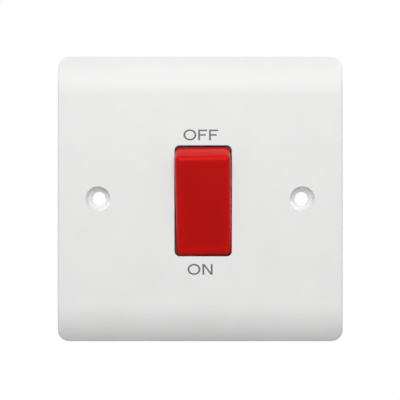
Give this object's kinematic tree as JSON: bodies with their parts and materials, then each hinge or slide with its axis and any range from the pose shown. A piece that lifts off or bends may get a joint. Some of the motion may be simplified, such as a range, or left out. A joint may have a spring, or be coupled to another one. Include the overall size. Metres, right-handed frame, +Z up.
{
  "type": "cooker switch",
  "caption": "Square white wall plate with a red rocker that works a double-pole switch with screw terminals behind it; held to a flush box by two screws.",
  "frame": {"origin": "centre of the plate, in the plane where its rim meets the wall", "axes": "+Z up, the front faces -Y, +X to the right seen from the front"},
  "size_m": [0.086, 0.0361, 0.086],
  "materials": {
    "plate_plastic": "white moulded plastic, satin gloss",
    "rocker_plastic": "red moulded plastic, satin gloss",
    "housing_plastic": "light grey moulded plastic, matt",
    "plunger_plastic": "natural nylon",
    "terminal_brass": "machined brass",
    "contact_copper": "stamped copper",
    "contact_silver": "silver alloy button",
    "spring_steel": "drawn spring wire",
    "screw_steel": "zinc-plated steel",
    "mark_ink": "grey printed ink"
  },
  "bodies": {
    "switch_body": {"front_plate": "plate_plastic", "rear_housing": "housing_plastic", "bearing_cover": "housing_plastic", "live_supply_terminal": "terminal_brass", "live_load_terminal": "terminal_brass", "live_fixed_contact": "contact_silver", "neutral_supply_terminal": "terminal_brass", "neutral_load_terminal": "terminal_brass", "neutral_fixed_contact": "contact_silver", "earth_terminal": "terminal_brass", "terminal_screws": "screw_steel", "earth_screw": "screw_steel", "housing_screws": "screw_steel"},
    "rocker_body": {"rocker": "rocker_plastic", "live_plunger_spring": "spring_steel", "neutral_plunger_spring": "spring_steel"},
    "live_plunger_body": {"live_plunger": "plunger_plastic"},
    "live_contact_body": {"live_moving_contact": "contact_copper", "live_moving_tip": "contact_silver"},
    "neutral_plunger_body": {"neutral_plunger": "plunger_plastic"},
    "neutral_contact_body": {"neutral_moving_contact": "contact_copper", "neutral_moving_tip": "contact_silver"}
  },
  "joints": [
    {"name": "rocker_hinge", "type": "hinge", "parent": "switch_body", "child": "rocker_body", "pos_m": [0.00087, -0.0018, -0.0006], "axis": [-0.9999, 0, -0.0148], "range_deg": [0, 20]},
    {"name": "live_plunger_slide", "type": "slide", "parent": "rocker_body", "child": "live_plunger_body", "axis": [0.0026, -0.9848, -0.1736], "range_m": [0, 0.001], "stiffness_N_per_m": 500, "springref_m": -0.006, "deforming": ["live_plunger_spring"]},
    {"name": "live_contact_hinge", "type": "hinge", "parent": "switch_body", "child": "live_contact_body", "pos_m": [0.01087, 0.01199, -0.0006], "axis": [1, 0, 0], "range_deg": [0, 20]},
    {"name": "neutral_plunger_slide", "type": "slide", "parent": "rocker_body", "child": "neutral_plunger_body", "axis": [0.0026, -0.9848, -0.1736], "range_m": [0, 0.001], "stiffness_N_per_m": 500, "springref_m": -0.006, "deforming": ["neutral_plunger_spring"]},
    {"name": "neutral_contact_hinge", "type": "hinge", "parent": "switch_body", "child": "neutral_contact_body", "pos_m": [-0.00913, 0.01199, -0.0006], "axis": [1, 0, 0], "range_deg": [0, 20]}
  ],
  "couplings": [
    {"joint": "live_contact_hinge", "follows": "rocker_hinge", "ratio": 1},
    {"joint": "neutral_contact_hinge", "follows": "rocker_hinge", "ratio": 1}
  ]
}
